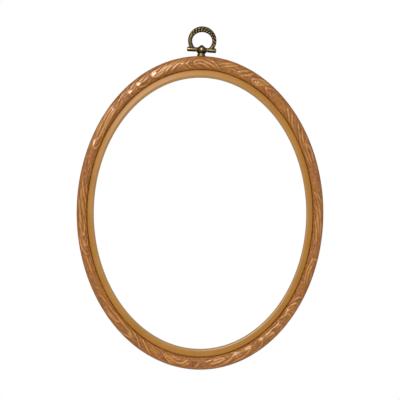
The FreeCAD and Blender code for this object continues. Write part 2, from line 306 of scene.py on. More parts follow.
def measure_girth(bm):
    """Stores on each vertex of the outline its distance from the bore's front end, over the crown.

    Returns the outline's length and, for the vertices of the face, their shares of its width and their
    distances.
    """
    girth = bm.verts.layers.float.new("girth")
    bore_front = Vector((0, OUTER_LOW.y + CROWN_BORE_ROUND, BORE_SIDE))
    start = min(bm.verts, key=lambda v: (v.co - bore_front).length)
    here = start
    edge = max(start.link_edges, key=lambda e: e.other_vert(start).co.z)
    total = 0.0
    shares = []
    girths = []
    while edge.other_vert(here) is not start:
        if here.co.y < CROWN_DEPTH + SLACK:
            shares.append((here.co.z - BORE_SIDE) / OUTER_SIDE_WALL)
            girths.append(total)
        total += edge.calc_length()
        here = edge.other_vert(here)
        here[girth] = total
        edge = next(e for e in here.link_edges if e is not edge)
    return total + edge.calc_length(), shares, girths


# %% Outer hoop, smooth
OUTER_STEPS = 76

outer_bm = bmesh.new()
rounded_profile(outer_bm, [
    (BORE_SIDE, OUTER_LOW.y, CROWN_BORE_ROUND, 14),
    (OUTER_SIDE, OUTER_LOW.y, CROWN_OUTER_ROUND, 18),
    (OUTER_SIDE, OUTER_HIGH.y, OUTER_REAR_ROUND, 3),
    (BORE_SIDE, OUTER_HIGH.y, OUTER_BORE_LEAD, 2),
], outer_spacing)
OUTLINE_LENGTH, FACE_SHARES, FACE_GIRTHS = measure_girth(outer_bm)
spin_to_oval(outer_bm, OUTER_STEPS, (BORE_SIDE, OUTER_SIDE), (BORE_END, OUTER_END), (0, OUTER_LIFT))
outer = finished_piece(outer_bm, "grained_outer_hoop", VINYL, "outer_hoop_body",
                       "outer_hoop")
print("outline of the outer hoop in mm:", round(OUTLINE_LENGTH / MM, 2))

# %% [markdown]
# ## Drawing the grain
# Flat-sawn wood shows nested arches, because a saw cuts the cone-like growth rings at a slant. Here each
# arch is drawn as a smooth line through a few points, as a pattern maker draws it before cutting the mould.
# A point is an angle, from the top towards the left, and a share of the face's width, from the inner edge
# out. The arches all point the same way round the hoop, as the grain on the object does. A second, shorter
# table lists the bends where a ridge is broad and domed: an angle, a share, half a length in degrees, and
# the size in millimetres of the flat that handling has rubbed on it, or 0 for none. These catch the lamp.

# %% Lines of the grain
GRAIN_LINES = (
    ((-1.5, .66), (.4, .68), (1.9, .65), (2.8, .52), (2.4, .38), (1, .3)),
    ((3.7, .83), (5.3, .63), (6.6, .47), (6.1, .4), (4.7, .22), (3.3, .06)),
    ((6.6, .8), (7.3, .69), (8.3, .55), (9.5, .43), (10.3, .36)),
    ((7.2, .9), (8.7, .73), (12.1, .44), (14.1, .22), (16.1, .04)),
    ((9, .92), (10.7, .76), (13.3, .58), (16.1, .37), (18.8, .11)),
    ((10.9, .95), (12.9, .8), (16.1, .58), (18.5, .38), (20.5, .25), (22.4, .27), (23.9, .44), (23.3, .6),
     (21.5, .66), (19.5, .72), (17, .86)),
    ((14.5, .9), (17, .68), (19, .52), (20.6, .42), (22, .42)),
    ((25.5, .8), (27.6, .74), (29.2, .66), (30.7, .57), (31.5, .42), (30.9, .24), (29.2, .13), (27, .06)),
    ((25, .58), (27, .48), (28.8, .42), (29.8, .4)),
    ((31.5, .86), (33.5, .76), (35.2, .64), (36.6, .42), (37.2, .25), (36.3, .1), (34.5, .04)),
    ((38.5, .8), (41.5, .7), (43.6, .55), (45.2, .36)),
    ((45, .8), (50, .76), (55, .72), (59.5, .66), (62, .61), (63.7, .52), (64.3, .4), (63.7, .22),
     (62.3, .1), (60, .05)),
    ((45.5, .6), (48.5, .53), (51.5, .45), (55.5, .37), (59, .34), (61.5, .4)),
    ((45, .4), (48.5, .33), (52, .26), (56, .19), (59.5, .15)),
    ((46, .92), (51, .88), (56, .84), (60, .78)),
    ((77, .66), (80.3, .47), (83, .32), (86, .1)),
    ((80, .72), (84, .55), (87.5, .38), (90, .28)),
    ((79, .22), (81, .12), (82.5, .05)),
    ((83.5, .85), (87, .72), (91, .6), (95, .5)),
    ((98.5, .86), (101.5, .79), (104, .71), (105.6, .5), (106.1, .26), (105.2, .08)),
    ((96.5, .7), (99, .63), (100.9, .46), (102.5, .32), (102.8, .2), (101.5, .09), (99, .05)),
    ((92.5, .72), (95.5, .62), (97.6, .52), (98.5, .39), (97.5, .28), (95, .21), (92.5, .17)),
    ((88, .3), (91, .18), (93.5, .08)),
    ((106.5, .5), (109, .46), (112, .41), (114.5, .34)),
    ((119, .55), (120.3, .38), (121.5, .15)),
    ((122.5, .52), (124.8, .42), (127.5, .32)),
    ((127.5, .62), (130.5, .6), (133.2, .56), (134.6, .48)),
    ((129.5, .76), (132.5, .7), (135, .6), (136.6, .42), (135.8, .3)),
    ((128, .34), (131.5, .26), (135, .17), (138, .21), (141, .25), (143.3, .34), (144.6, .53),
     (143.8, .68), (142.2, .79), (140, .87), (137.5, .91)),
    ((143, .05), (145.5, .13), (147.4, .3), (149, .53), (150.4, .77), (151.6, .95)),
    ((149, .04), (150.9, .16), (152.7, .4), (154.6, .66), (156.4, .92)),
    ((159.5, .1), (160.7, .18), (161.9, .36), (163.5, .54), (165.4, .75), (167, .9)),
    ((161.5, .06), (162.3, .14), (163.9, .36), (165.8, .57), (167.8, .75)),
    ((165.2, .2), (166.6, .48), (168.6, .62), (171, .58), (172.8, .42), (173.8, .22), (173.6, .06)),
    ((165.8, .1), (167.4, .26), (169, .32), (170.2, .22), (169.6, .09)),
    ((170.8, .33), (172.2, .26), (172.5, .12)),
    ((170.5, .85), (172.6, .7), (174.6, .5), (175.6, .3)),
    ((175.6, .1), (176.8, .27), (178.2, .2)),
    ((177.8, .4), (179.5, .28), (180.2, .15)),
    ((176, .92), (177.8, .7), (179.5, .48), (181, .34)),
    ((181.5, .46), (183.9, .32), (186.2, .19), (188.6, .1), (191, .05)),
    ((184, .62), (187, .57), (190, .5), (191.9, .38), (190.8, .26), (188.5, .28), (186, .36)),
    ((185.5, .86), (189, .8), (192, .69), (194.8, .52), (197, .36), (198.3, .22), (197, .08), (194.5, .03)),
    ((193.5, .9), (197, .8), (201, .74), (204, .62), (205.6, .4), (205.3, .22), (203.6, .12)),
    ((205, .9), (208, .84), (210.6, .71), (211.8, .5), (212.3, .28), (211, .13)),
    ((213.5, .56), (215.5, .5), (217.4, .56), (218.3, .7), (217, .84)),
    ((212.8, .3), (215, .25), (218, .26), (220.5, .36), (222.2, .5), (222.8, .66), (221.8, .82),
     (219.5, .93)),
    ((222.5, .13), (225, .2), (226.8, .34), (228.1, .56), (228.3, .72), (227.3, .9)),
    ((226.5, .06), (229, .13), (231, .26), (232.8, .48), (233.7, .72), (233, .92)),
    ((233.5, .28), (235.2, .45), (236.5, .68), (237.2, .92)),
    ((241, .5), (243, .37), (245.5, .27), (248.5, .28), (251, .4), (252.3, .6), (252.4, .8), (251, .92)),
    ((241.8, .74), (244, .57), (246.5, .49), (249, .54), (250.3, .7)),
    ((243.5, .88), (246, .76), (248.4, .74)),
    ((258, .52), (262, .38), (265, .25), (267.8, .11)),
    ((261, .62), (264.5, .52), (268, .4), (271.5, .26)),
    ((260, .82), (265, .74), (270, .62), (273, .5)),
    ((270, .47), (271.5, .33), (273, .15)),
    ((271.5, .62), (274, .5), (276.5, .33), (278.3, .17), (278.8, .04)),
    ((273.5, .84), (275.6, .68), (277.3, .5), (278.2, .36)),
    ((288.5, .52), (291, .47), (294, .46), (296.3, .52), (297, .62), (295.6, .74), (292.5, .78),
     (289.5, .74)),
    ((287.5, .36), (290, .25), (293, .18), (296, .16)),
    ((296.5, .1), (299.5, .17), (301.3, .36), (303.8, .5), (305.3, .7), (306.5, .88)),
    ((296.8, .32), (299, .42), (301.2, .6), (303, .78)),
    ((304.5, .06), (307.2, .25), (308.8, .46), (310, .72), (311.2, .92)),
    ((307.8, .12), (309.5, .18), (311.2, .38), (312.7, .6), (314, .86)),
    ((321.5, .1), (322.6, .32), (323.4, .52)),
    ((322.5, .85), (324, .66), (325.7, .48), (324.8, .34), (323.6, .22)),
    ((325.5, .7), (327.7, .5), (329.7, .34), (329.4, .16)),
    ((324.8, .86), (327.5, .72), (330, .5), (331.6, .34), (331.2, .2)),
    ((325.8, .92), (328.5, .82), (331, .64), (333, .48), (333.8, .32), (332.6, .18), (330.6, .11)),
    ((333, .92), (335.6, .6), (337.5, .38), (339, .2)),
    ((336, .92), (338.6, .6), (340.5, .38), (342, .2)),
    ((341.5, .8), (344, .68), (346.5, .52), (349, .38)),
    ((343, .9), (346, .76), (348.5, .62), (350.5, .5)),
    ((349.5, .1), (351.3, .34), (353, .56), (354.4, .68), (355.4, .55)),
    ((351, .1), (353.8, .32), (356.3, .49), (358.6, .54)),
    ((354.5, .12), (357, .28), (359.5, .42), (361.5, .44)),
)

BROAD_BENDS = (
    (8.6, .5, .3, 0), (22.6, .52, .7, .9), (30.9, .5, .6, .8), (36.5, .48, .5, .75), (47.5, .55, .3, 0),
    (62.3, .59, 1.5, .55), (102, .45, .5, 0), (144, .5, .5, 0), (166, .5, .5, 0),
    (198, .28, .5, .6), (204.8, .29, .5, .75), (211.8, .29, .5, .7), (216, .3, .7, 0), (221.5, .4, .6, 0),
    (228, .3, .7, 0), (251.5, .5, .6, 0), (296.5, .5, .6, 0), (331, .3, .5, 0),
)
print("grain of", len(GRAIN_LINES), "lines and", len(BROAD_BENDS), "broad bends")

# %% [markdown]
# ## Unrolling the hoop
# To draw on a hoop it helps to unroll it. Each vertex gets two numbers: how far it lies along the hoop and
# how far across, both in real length, so a line is as wide on the round crown as it was drawn on the flat
# pattern. The distance across starts at the bore's front end, and the last quarter of the outline, which is
# the bore itself, counts as negative.

# %% Places along and across the hoop
BORE_STARTS = 0.75
TURN_SAMPLES = 3601


def read_mesh(source, key, size):
    """Numbers of every item of a mesh collection, as an array."""
    values = np.empty(len(source) * size)
    source.foreach_get(key, values)
    return values.reshape(-1, size) if size > 1 else values


mesh = outer.data
points = read_mesh(mesh.vertices, "co", 3)
normals = read_mesh(mesh.vertex_normals, "vector", 3)
across = read_mesh(mesh.attributes["girth"].data, "value", 1)
across = np.where(across > BORE_STARTS * OUTLINE_LENGTH, across - OUTLINE_LENGTH, across)

MID_SIDE = (BORE_SIDE + OUTER_SIDE) / 2
MID_END = (BORE_END + OUTER_END) / 2
MID_LIFT = OUTER_LIFT / 2
TURNS = np.linspace(0, math.tau, TURN_SAMPLES)
PACE = np.hypot(MID_SIDE * np.cos(TURNS), MID_END * np.sin(TURNS))
LENGTHS = np.concatenate(([0], np.cumsum((PACE[1:] + PACE[:-1]) / 2 * np.diff(TURNS))))
HOOP_LENGTH = LENGTHS[-1]
angles = np.arctan2(-points[:, 0] / MID_SIDE, (points[:, 2] - MID_LIFT) / MID_END) % math.tau
along = np.interp(angles, TURNS, LENGTHS)
print("hoop length in mm:", round(HOOP_LENGTH / MM, 1))

# %% [markdown]
# ## Noise without a seam
# The fine grain comes from noise. It is taken on a wheel as long as the hoop, so it meets itself at the top
# without a seam.

# %% Noise on a wheel
wheel_radius = HOOP_LENGTH / math.tau
wheel_angles = along / HOOP_LENGTH * math.tau
places = np.stack((wheel_radius * np.cos(wheel_angles), wheel_radius * np.sin(wheel_angles), across), axis=1)


def hoop_noise(length, width, seed):
    """Noise that runs along the hoop, with that length and width, from about -0.7 to 0.7."""
    scaled = places / (length, length, width) + seed
    return np.array([noise.noise(place) for place in scaled.tolist()])


def smooth_step(value, low, high):
    """0 below low, 1 above high, smooth between."""
    share = np.clip((value - low) / (high - low), 0, 1)
    return share * share * (3 - 2 * share)


print("wheel radius in mm:", round(wheel_radius / MM, 1))

# %% [markdown]
# ## A smooth line through the points
# A row of the table becomes a line that bends evenly through its points, by the Catmull-Rom formula. Each
# span depends on four neighbouring points, so the line's ends are carried straight on by one point each.

# %% A row as a line
SPAN_STEPS = 7


def drawn_line(row):
    """Smooth line through the row's points, as distances along and across the hoop."""
    spots = [(math.floor(angle / 360) * HOOP_LENGTH + np.interp(math.radians(angle % 360), TURNS, LENGTHS),
              np.interp(share, FACE_SHARES, FACE_GIRTHS)) for angle, share in row]
    spots = np.array([2 * np.array(spots[0]) - spots[1], *spots, 2 * np.array(spots[-1]) - spots[-2]])
    t = np.linspace(0, 1, SPAN_STEPS, endpoint=False)[:, None]
    spans = [
        (2 * b + (c - a) * t + (2 * a - 5 * b + 4 * c - d) * t ** 2 + (3 * b - a - 3 * c + d) * t ** 3) / 2
        for a, b, c, d in zip(spots, spots[1:], spots[2:], spots[3:])
    ]
    return np.vstack(spans + [spots[-2:-1]])


print("the first row has", len(GRAIN_LINES[0]), "points and its line", len(drawn_line(GRAIN_LINES[0])))

# %% [markdown]
# ## How far a point is from a line
# The grain of a real board is never as clean as a drawn curve. The vertices' places are bent a little by
# noise before the distance to a line is measured, so each line wavers as if drawn by hand. Only the
# vertices near a line are measured, which saves most of the work.

# %% Distance from a line
WAVER_ALONG = 0.7 * MM
WAVER_ACROSS = 0.3 * MM
NEAR_LINE = 3 * MM
bent_along = along + WAVER_ALONG * hoop_noise(6 * MM, 3 * MM, 3.0)
bent_across = across + WAVER_ACROSS * hoop_noise(4 * MM, 2 * MM, 11.0)


def near_line(line):
    """Points near the line: which they are, how far from it, and how far it is to the line's end."""
    middle = (line[:, 0].min() + line[:, 0].max()) / 2
    reach = (line[:, 0].max() - line[:, 0].min()) / 2 + NEAR_LINE
    offset = (bent_along - middle + HOOP_LENGTH / 2) % HOOP_LENGTH - HOOP_LENGTH / 2
    near = np.flatnonzero(np.abs(offset) < reach)
    x = offset[near] + middle
    y = bent_across[near]
    distance = np.full(len(near), np.inf)
    to_end = np.zeros(len(near))
    steps = np.hypot(*np.diff(line, axis=0).T)
    passed = np.concatenate(([0], np.cumsum(steps)))
    for (ax, ay), (bx, by), step, before in zip(line, line[1:], steps, passed):
        share = np.clip(((x - ax) * (bx - ax) + (y - ay) * (by - ay)) / step ** 2, 0, 1)
        here = np.hypot(x - ax - share * (bx - ax), y - ay - share * (by - ay))
        closer = here < distance
        distance[closer] = here[closer]
        place = before + share[closer] * step
        to_end[closer] = np.minimum(place, passed[-1] - place)
    return near, distance, to_end


print("widest waver in mm:", round(float(np.abs(bent_along - along).max()) / MM, 2))

# %% [markdown]
# ## Ridges beside grooves
# The mould for such grain is cut with a small ball-ended tool, so a line stands up round and has a groove
# on each side, where the stain collects. How high a point is depends on its distance from the nearest line.
# Ridge and groove both fade out towards a line's ends.

# %% Ridges and grooves
RIDGE_WIDTH = 0.5 * MM
GROOVE_PLACE = 0.92 * MM
GROOVE_WIDTH = 0.36 * MM
LINE_FADE = (-0.5 * MM, 3 * MM)

ridges = np.zeros(len(points))
grooves = np.zeros(len(points))
for row in GRAIN_LINES:
    near, distance, to_end = near_line(drawn_line(row))
    fade = smooth_step(to_end, *LINE_FADE)
    ridge = fade * np.exp(-(distance / RIDGE_WIDTH) ** 4)
    groove = fade * np.exp(-((distance - GROOVE_PLACE) / GROOVE_WIDTH) ** 2)
    ridges[near] = np.maximum(ridges[near], ridge)
    grooves[near] = np.maximum(grooves[near], groove)
print("share of the hoop in grooves:", round(float((grooves > 0.5).mean()), 3))

# %% [markdown]
# ## Broad bends and rubbed flats
# A broad bend is a soft dome on the ridge, and hands polish it. On some of them handling has worn a small
# flat, which faces almost halfway between the lamp and the camera and so flashes white. A flat is a plane
# through the bend's middle, sunk a little, and the surface round it is cut down to that plane.

# %% Broad bends
BEND_WIDTH = 1.0 * MM
POLISH_WIDTH = 1.5 * MM
GRAIN_DEPTH = 0.28 * MM
FLAT_FACING = np.array(Vector((-0.1, -0.98, 0.13)).normalized())
FLAT_SINK = 0.12 * MM
FLAT_RIM = 0.01

polish = np.zeros(len(points))
rubbed_flat = np.zeros(len(points))
flat_height = np.zeros(len(points))
for angle, share, length, flat_size in BROAD_BENDS:
    spot = drawn_line(((angle - length, share), (angle, share), (angle + length, share)))
    near, distance, _ = near_line(spot)
    ridges[near] = np.maximum(ridges[near], np.exp(-(distance / BEND_WIDTH) ** 2))
    polish[near] = np.maximum(polish[near], np.exp(-(distance / POLISH_WIDTH) ** 4))
    if flat_size:
        inside = np.exp(-(distance / (flat_size * MM)) ** 4)
        centre = (points[near] * inside[:, None]).sum(axis=0) / inside.sum()
        sink = (points[near] - centre) @ FLAT_FACING / (normals[near] @ FLAT_FACING) + FLAT_SINK
        plane = 1 - np.clip(sink / GRAIN_DEPTH, 0, 1)
        rubbed_flat[near] = np.maximum(rubbed_flat[near], inside)
        flat_height[near] = np.where(inside > FLAT_RIM, plane, flat_height[near])
print("share of the hoop on ridges:", round(float((ridges > 0.5).mean()), 3))

# %% [markdown]
# ## The ground between the lines
# The ground is about half as high as a ridge. Thin wavy lines run over it in patches, and small pebbles
# roughen it, as the tool leaves them in the mould. Towards the bore and towards the outer edge the height
# falls, which sinks the ground there and gives it the stain's darker colour. That darker seam and outer
# border are painted shade.

# %% Height of the grain
FINE_SPACING = 0.85 * MM
FINE_BENDS = ((1.8, 13 * MM, 5 * MM, 23.0), (0.5, 4 * MM, 2 * MM, 31.0))
FINE_PATCHES = (-0.55, 0.2)
GROUND_HEIGHT = 0.48
FINE_HEIGHT = 0.34
PEBBLE_HEIGHT = 0.45
GROOVE_DROP = 0.85
# Where the height falls at the seam and the outer edge, the darker colour is painted shade.
BORE_SHADE_RIM = (-0.8 * MM, 0.1 * MM)
EDGE_GIRTH = FACE_GIRTHS[-1]
EDGE_SHADE_RIM = (EDGE_GIRTH - 2.8 * MM, EDGE_GIRTH - 0.6 * MM)
EDGE_SHADE_DROP = 0.8

waves = bent_across / FINE_SPACING
for amount, length, width, seed in FINE_BENDS:
    waves = waves + amount * hoop_noise(length, width, seed)
fine = np.cos(math.tau * waves) * smooth_step(hoop_noise(9 * MM, 3 * MM, 41.0), *FINE_PATCHES)
pebbles = hoop_noise(1.5 * MM, 0.9 * MM, 53.0)
ground = np.clip(GROUND_HEIGHT + FINE_HEIGHT * fine + PEBBLE_HEIGHT * pebbles, 0, 1)
height = ground * (1 - GROOVE_DROP * grooves)
height = height + (1 - height) * ridges
# These two lines lower the height at the bore and the outer edge: a lower ground, and painted shade in the
# colour.
height *= smooth_step(across, *BORE_SHADE_RIM)
height *= 1 - EDGE_SHADE_DROP * smooth_step(across, *EDGE_SHADE_RIM)
print("mean height of the grain, from 0 to 1:", round(float(height.mean()), 3))

# %% [markdown]
# ## The knot
# At the foot of the hoop the moulding copies a small knot, which shows as a patch of dark specks. Two
# crossed waves make the specks, and a round spot limits them.

# %% Knot
KNOT_ANGLE = 176.3
KNOT_SHARE = 0.5
KNOT_INSIDE = 1.2 * MM
KNOT_OUTSIDE = 2.6 * MM
SPECK_SPACING = 1.9 * MM
SPECK_RANGE = (0.0, 0.5)

ahead = along - np.interp(math.radians(KNOT_ANGLE), TURNS, LENGTHS)
aside = across - np.interp(KNOT_SHARE, FACE_SHARES, FACE_GIRTHS)
specks = (np.cos(math.tau * (ahead + aside) / SPECK_SPACING)
          * np.cos(math.tau * (ahead - aside) / SPECK_SPACING))
spot = smooth_step(-np.hypot(ahead, aside), -KNOT_OUTSIDE, -KNOT_INSIDE)
knot = spot * smooth_step(specks, *SPECK_RANGE)
print("vertices in the knot's specks:", int((knot > 0.5).sum()))

# %% [markdown]
# ## Raising the grain
# The heights could drive a bump map, but a ridge that shows has to be real: it catches the light on its
# flank and it stays in the mesh itself. So the ground is sunk along its normals, and the ridges
# stay where the CAD surface is, which keeps the hoop inside its size. The relief sets in at the bore and
# runs out low on the outside, where the hoop is plain.

# %% Raise the grain
RELIEF_START = (-1.6 * MM, -0.4 * MM)
RELIEF_END = 15.0 * MM

shape = height + (flat_height - height) * rubbed_flat
sunk = smooth_step(across, *RELIEF_START) * (1 - smooth_step(across, RELIEF_END - MM, RELIEF_END))
depth = GRAIN_DEPTH * sunk * (1 - shape)
points -= normals * depth[:, None]
mesh.vertices.foreach_set("co", points.ravel())
for name, values in (("grain_height", height), ("grain_knot", knot), ("grain_polish", polish)):
    mesh.attributes.new(name, "FLOAT", "POINT").data.foreach_set("value", values)
mesh.attributes.new("grain_place", "FLOAT_VECTOR", "POINT").data.foreach_set("vector", places.ravel())
mesh.attributes.remove(mesh.attributes["girth"])
mesh.update()
print("deepest place of the relief in mm:", round(float(depth.max()) / MM, 2))

# %% [markdown]
# ## The inner hoop's plastic
# The rigid hoop is moulded in one go from a hard tan plastic, polystyrene by the look of it. Its satin skin
# carries faint clouds where the melt flowed. Real moulding grit is finer than the bump here, which is drawn
# as coarse as it needs to be to show. The border beside the opening is rubbed smoother, and an attribute
# of the mesh says where.

# %% Tan plastic
CLOUD_SIZE = 14 * MM
CLOUD_RANGE = (0.3, 0.7)
GRIT_SIZE = 0.35 * MM
GRIT_DEPTH = 0.02 * MM
GRIT_BUMP = 0.2
SATIN_ROUGHNESS = (0.34, 0.44)
BORDER_ROUGHNESS = 0.32
PLASTIC_GLOSS = (0.42, 0.7)
PLASTIC_IOR = 1.55


def make_tan_plastic():
    """Satin moulded plastic with faint flow marks and a smoother border."""
    finish, tree, shader = new_finish("moulded_tan_polystyrene")
    coordinates = add_node(tree, "ShaderNodeTexCoord").outputs["Object"]
    cloud = add_node(tree, "ShaderNodeTexNoise", {
        "Vector": coordinates, "Scale": 1 / CLOUD_SIZE, "Detail": 3.0}).outputs["Fac"]
    grit = add_node(tree, "ShaderNodeTexNoise", {
        "Vector": coordinates, "Scale": 1 / GRIT_SIZE, "Detail": 2.0}).outputs["Fac"]
    colour = mixed(tree, ranged(tree, cloud, *CLOUD_RANGE), paint("a77225"), paint("b07b30"))
    tree.links.new(colour, shader.inputs["Base Color"])
    border = add_node(tree, "ShaderNodeAttribute", attribute_name="border").outputs["Fac"]
    satin = ranged(tree, cloud, *CLOUD_RANGE, *SATIN_ROUGHNESS)
    rough = add_node(tree, "ShaderNodeMix", {
        "Factor": border, "A": satin, "B": BORDER_ROUGHNESS}).outputs["Result"]
    tree.links.new(rough, shader.inputs["Roughness"])
    tree.links.new(ranged(tree, border, 0.0, 1.0, *PLASTIC_GLOSS), shader.inputs["Specular IOR Level"])
    bump = add_node(tree, "ShaderNodeBump", {
        "Height": grit, "Strength": GRIT_BUMP, "Distance": GRIT_DEPTH}).outputs["Normal"]
    tree.links.new(bump, shader.inputs["Normal"])
    shader.inputs["IOR"].default_value = PLASTIC_IOR
    return finish


TAN_PLASTIC = make_tan_plastic()
print(TAN_PLASTIC.name, "with", len(TAN_PLASTIC.node_tree.nodes), "nodes")

# %% [markdown]
# ## The inner hoop
# It has a lip at the back that the outer hoop seats against. Its face falls a little towards the outer
# hoop, which is why the light picks out the side nearest the lamp. Beside the opening the face is level, and
# a narrow border falls the other way, so it draws a thin bright line on the far side from the lamp. The
# border's place is marked on the outline, and the spin carries the mark round. The outline starts from eight
# corners, and the same spin makes the ring.

# %% Inner hoop
FACE_FALL = 0.6 * MM
LEVEL_WIDTH = 1.05 * MM
LEVEL_FALL = 0.03 * MM
BORDER_WIDTH = 0.5 * MM
BORDER_FALL = 0.12 * MM
BORDER_DEPTH = 0.6 * MM
LIP_FRONT = OUTER_HIGH.y
INNER_SPACING = 0.7 * MM
INNER_STEPS = 24

inner_bm = bmesh.new()
rounded_profile(inner_bm, [
    (OPENING_SIDE, INNER_LOW.y + LEVEL_FALL + BORDER_FALL, 0.2 * MM, 4),
    (OPENING_SIDE + BORDER_WIDTH, INNER_LOW.y + LEVEL_FALL, 0.1 * MM, 2),
    (OPENING_SIDE + LEVEL_WIDTH, INNER_LOW.y, 0.25 * MM, 2),
    (BAND_SIDE, INNER_LOW.y + FACE_FALL, 0.5 * MM, 4),
    (BAND_SIDE, LIP_FRONT, 0.1 * MM, 1),
    (LIP_SIDE, LIP_FRONT, 0.2 * MM, 2),
    (LIP_SIDE, INNER_HIGH.y, 0.5 * MM, 3),
    (OPENING_SIDE, INNER_HIGH.y, 0.5 * MM, 3),
], lambda edge: INNER_SPACING if edge.verts[0].co.y < INNER_LOW.y + MM else PLAIN_SPACING)
border = inner_bm.verts.layers.float.new("border")
for vert in inner_bm.verts:
    vert[border] = vert.co.z < OPENING_SIDE + BORDER_WIDTH and vert.co.y < INNER_LOW.y + BORDER_DEPTH
spin_to_oval(inner_bm, INNER_STEPS, (OPENING_SIDE, BAND_SIDE, LIP_SIDE), (OPENING_END, BAND_END, LIP_END),
             (0, 0, 0))
finished_piece(inner_bm, "moulded_inner_hoop", TAN_PLASTIC, "inner_hoop_body", "inner_hoop")

# %% [markdown]
# ## Antique brass and zinc
# The hanger is cast brass, blackened and then rubbed, so the hollows stay dark and the high places shine.
# Its colour also carries painted shade, on the bow's rims, above and below the barrels and on the post's
# collar and top, and painted highlights along the barrels and on two spots of the post. Metal shows mostly
# what it mirrors, and its base colour is a tint on that. The room mirrored here is at half of white, so the
# tones are written lighter than the metal looks: olive-brown, and palest where it is rubbed or carries a
# painted highlight. The tint at a glancing angle is the hollows' dark one, so the rounds don't turn white as
# they would on polished brass. The screw inside is plain zinc-plated steel.

# %% Metals
TARNISH_RANGE = (0.35, 0.7)
TARNISH_SHINE = (0.3, 0.7)
TARNISH_DETAIL = 4.0
TARNISH_GRIT = 0.65


def make_metal(name, dull, bright, rubbed_and_highlight_colour, hollow_and_shade_colour, patch_size, roughness):
    """Metal in two tones, in patches of that size, pale where rubbed or a highlight is painted, dark in the
    hollows and painted shade.
    """
    finish, tree, shader = new_finish(name)
    coordinates = add_node(tree, "ShaderNodeTexCoord").outputs["Object"]
    rubbed_and_highlight = add_node(tree, "ShaderNodeAttribute", attribute_name="rubbed_and_highlight").outputs["Fac"]
    hollow_and_shade = add_node(tree, "ShaderNodeAttribute", attribute_name="hollow_and_shade").outputs["Fac"]
    tarnish = add_node(tree, "ShaderNodeTexNoise", {
        "Vector": coordinates, "Scale": 1 / patch_size, "Detail": TARNISH_DETAIL,
        "Roughness": TARNISH_GRIT}).outputs["Fac"]
    metal = mixed(tree, ranged(tree, tarnish, *TARNISH_RANGE), dull, bright)
    # Pale tone: rubbed wear on the bow's leaves, and a painted highlight on the barrels and the post.
    metal = mixed(tree, rubbed_and_highlight, metal, rubbed_and_highlight_colour)
    # Dark tone: patina in the bow's hollows, and painted shade on its rims, the barrels and the post.
    tree.links.new(mixed(tree, hollow_and_shade, metal, hollow_and_shade_colour), shader.inputs["Base Color"])
    tree.links.new(ranged(tree, tarnish, *TARNISH_SHINE, *roughness), shader.inputs["Roughness"])
    shader.inputs["Metallic"].default_value = 1.0
    shader.inputs["Specular Tint"].default_value = hollow_and_shade_colour
    return finish


BRASS = make_metal("antiqued_brass", paint("4c3f2c"), paint("7b6a48"), paint("c0aa7c"), paint("1f1710"),
                   0.8 * MM, (0.44, 0.32))
ZINC = make_metal("zinc_plated_steel", paint("8f9294"), paint("a9acad"), paint("b8babb"), paint("5b5d5f"),
                  0.5 * MM, (0.4, 0.3))
for node in ("post_screw", "screw_washer"):
    materials = frame["nodes"][node].data.materials
    materials.clear()
    materials.append(ZINC)
    print(node, "is finished in", ZINC.name)

# %% [markdown]
# ## Where the hanger stands
# The hanger leans a little, as it was screwed in by hand. Its pieces are easiest to draw upright, in a frame
# whose origin is on the hinge line, and are then leaned over and moved up to the joint that the CAD model
# gives.

# %% Place and sizes of the hanger
HINGE = next(joint for joint in frame["joints"] if joint["name"] == "ring_hinge")
LEAN = math.atan2(-HINGE["axis"][2], HINGE["axis"][0])
HANGER = Matrix.Translation(HINGE["pos_m"]) @ Matrix.Rotation(LEAN, 4, "Y")
SEAT_DROP = 3.75 * MM
BARREL_START = 3.25 * MM
TENON_PLACE = 5.611 * MM
BARREL_END = TENON_PLACE + 2.55 * MM
BARREL_RADIUS = 1.32 * MM
PIN_RADIUS = 0.55 * MM
PIN_STAND = 0.15 * MM
TENON_RADIUS = 0.5 * MM
print("hanger's lean in degrees:", round(math.degrees(LEAN), 1))

# %% [markdown]
# ## Turned pieces of the hanger
# The barrels, the pin and the two halves of the post are turned shapes, as from a lathe. Each is an outline
# spun about its own axis. Where two shapes meet in one piece of metal, or a hole goes through, a Boolean
# joins or cuts them. A Boolean muddles what is stored on the vertices, so the painted shade and painted
# highlight are stored on the finished piece.

# %% Lathe, Boolean and wear helpers
TURNED_STEPS = 40
ROD_STEPS = 32


def turned(outline, rounds, axis, steps=TURNED_STEPS, closed=True):
    """Outline of (place along the axis, radius), some corners rounded, spun about the axis."""
    bm = bmesh.new()
    along_axis = Vector(axis)
    out = Vector((0, 0, 1)) if along_axis.x else Vector((1, 0, 0))
    verts = [bm.verts.new(along_axis * place + out * radius) for place, radius in outline]
    pairs = list(zip(verts, verts[1:])) + ([(verts[-1], verts[0])] if closed else [])
    for pair in pairs:
        bm.edges.new(pair)
    for index, size in rounds.items():
        bmesh.ops.bevel(bm, geom=[verts[index]], offset=size, offset_type="OFFSET", segments=4,
                        profile=0.5, affect="VERTICES", material=-1)
    bmesh.ops.spin(bm, geom=bm.verts[:] + bm.edges[:], cent=(0, 0, 0), axis=axis, angle=math.tau,
                   steps=steps, use_merge=True)
    bmesh.ops.remove_doubles(bm, verts=bm.verts[:], dist=WELD_DISTANCE)
    return bm


